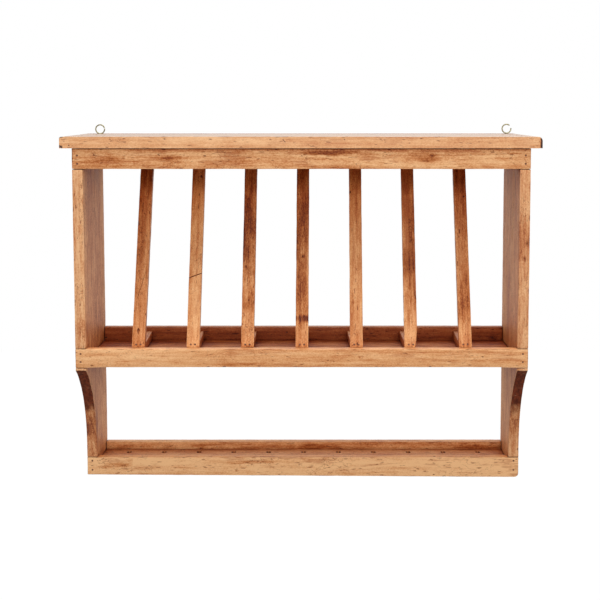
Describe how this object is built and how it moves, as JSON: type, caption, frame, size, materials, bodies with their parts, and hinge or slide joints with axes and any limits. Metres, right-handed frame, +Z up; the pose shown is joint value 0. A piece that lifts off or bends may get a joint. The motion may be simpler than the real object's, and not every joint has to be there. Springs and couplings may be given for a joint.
{
  "type": "wall plate rack",
  "caption": "Wall-hung wooden plate rack: leaning dividers between a railed rack floor and an overhanging top board, swept side panels and a railed mug shelf below.",
  "frame": {"origin": "on the wall plane, in the middle of the upper back rail's rear face", "axes": "+X along the rack's length to the right as seen from the front, +Y into the wall, +Z up"},
  "size_m": [0.8717, 0.205, 0.6777],
  "materials": {
    "top_board_wood": "waxed honey-coloured reclaimed wood, long grain, dark end grain",
    "panel_wood": "waxed reclaimed wood, vertical grain",
    "rail_wood": "waxed honey-coloured reclaimed wood, long grain",
    "floor_wood": "waxed reclaimed wood, darker",
    "slat_wood": "waxed reclaimed wood with knots",
    "bar_wood": "waxed reclaimed wood, darker",
    "eye_brass": "bright brass wire",
    "nail_steel": "dark oxidised steel"
  },
  "bodies": {
    "root": {"top_board": "top_board_wood", "side_panel_left": "panel_wood", "side_panel_right": "panel_wood", "upper_front_rail": "rail_wood", "upper_back_rail": "rail_wood", "rack_front_rail": "rail_wood", "rack_back_rail": "rail_wood", "rack_floor": "floor_wood", "shelf_front_rail": "rail_wood", "shelf_back_rail": "rail_wood", "shelf_floor": "floor_wood", "slat_1": "slat_wood", "slat_2": "slat_wood", "slat_3": "slat_wood", "slat_4": "slat_wood", "slat_5": "slat_wood", "slat_6": "slat_wood", "slat_7": "slat_wood", "floor_bar_1": "bar_wood", "floor_bar_2": "bar_wood", "floor_bar_3": "bar_wood", "floor_bar_4": "bar_wood", "floor_bar_5": "bar_wood", "floor_bar_6": "bar_wood", "floor_bar_7": "bar_wood", "screw_eye_left": "eye_brass", "screw_eye_right": "eye_brass", "upper_rail_nails": "nail_steel", "rack_rail_nails": "nail_steel", "shelf_rail_nails": "nail_steel", "slat_foot_nails": "nail_steel", "slat_head_nails": "nail_steel", "top_board_nails": "nail_steel", "left_panel_nails": "nail_steel", "right_panel_nails": "nail_steel", "floor_bar_nails": "nail_steel"}
  },
  "joints": []
}
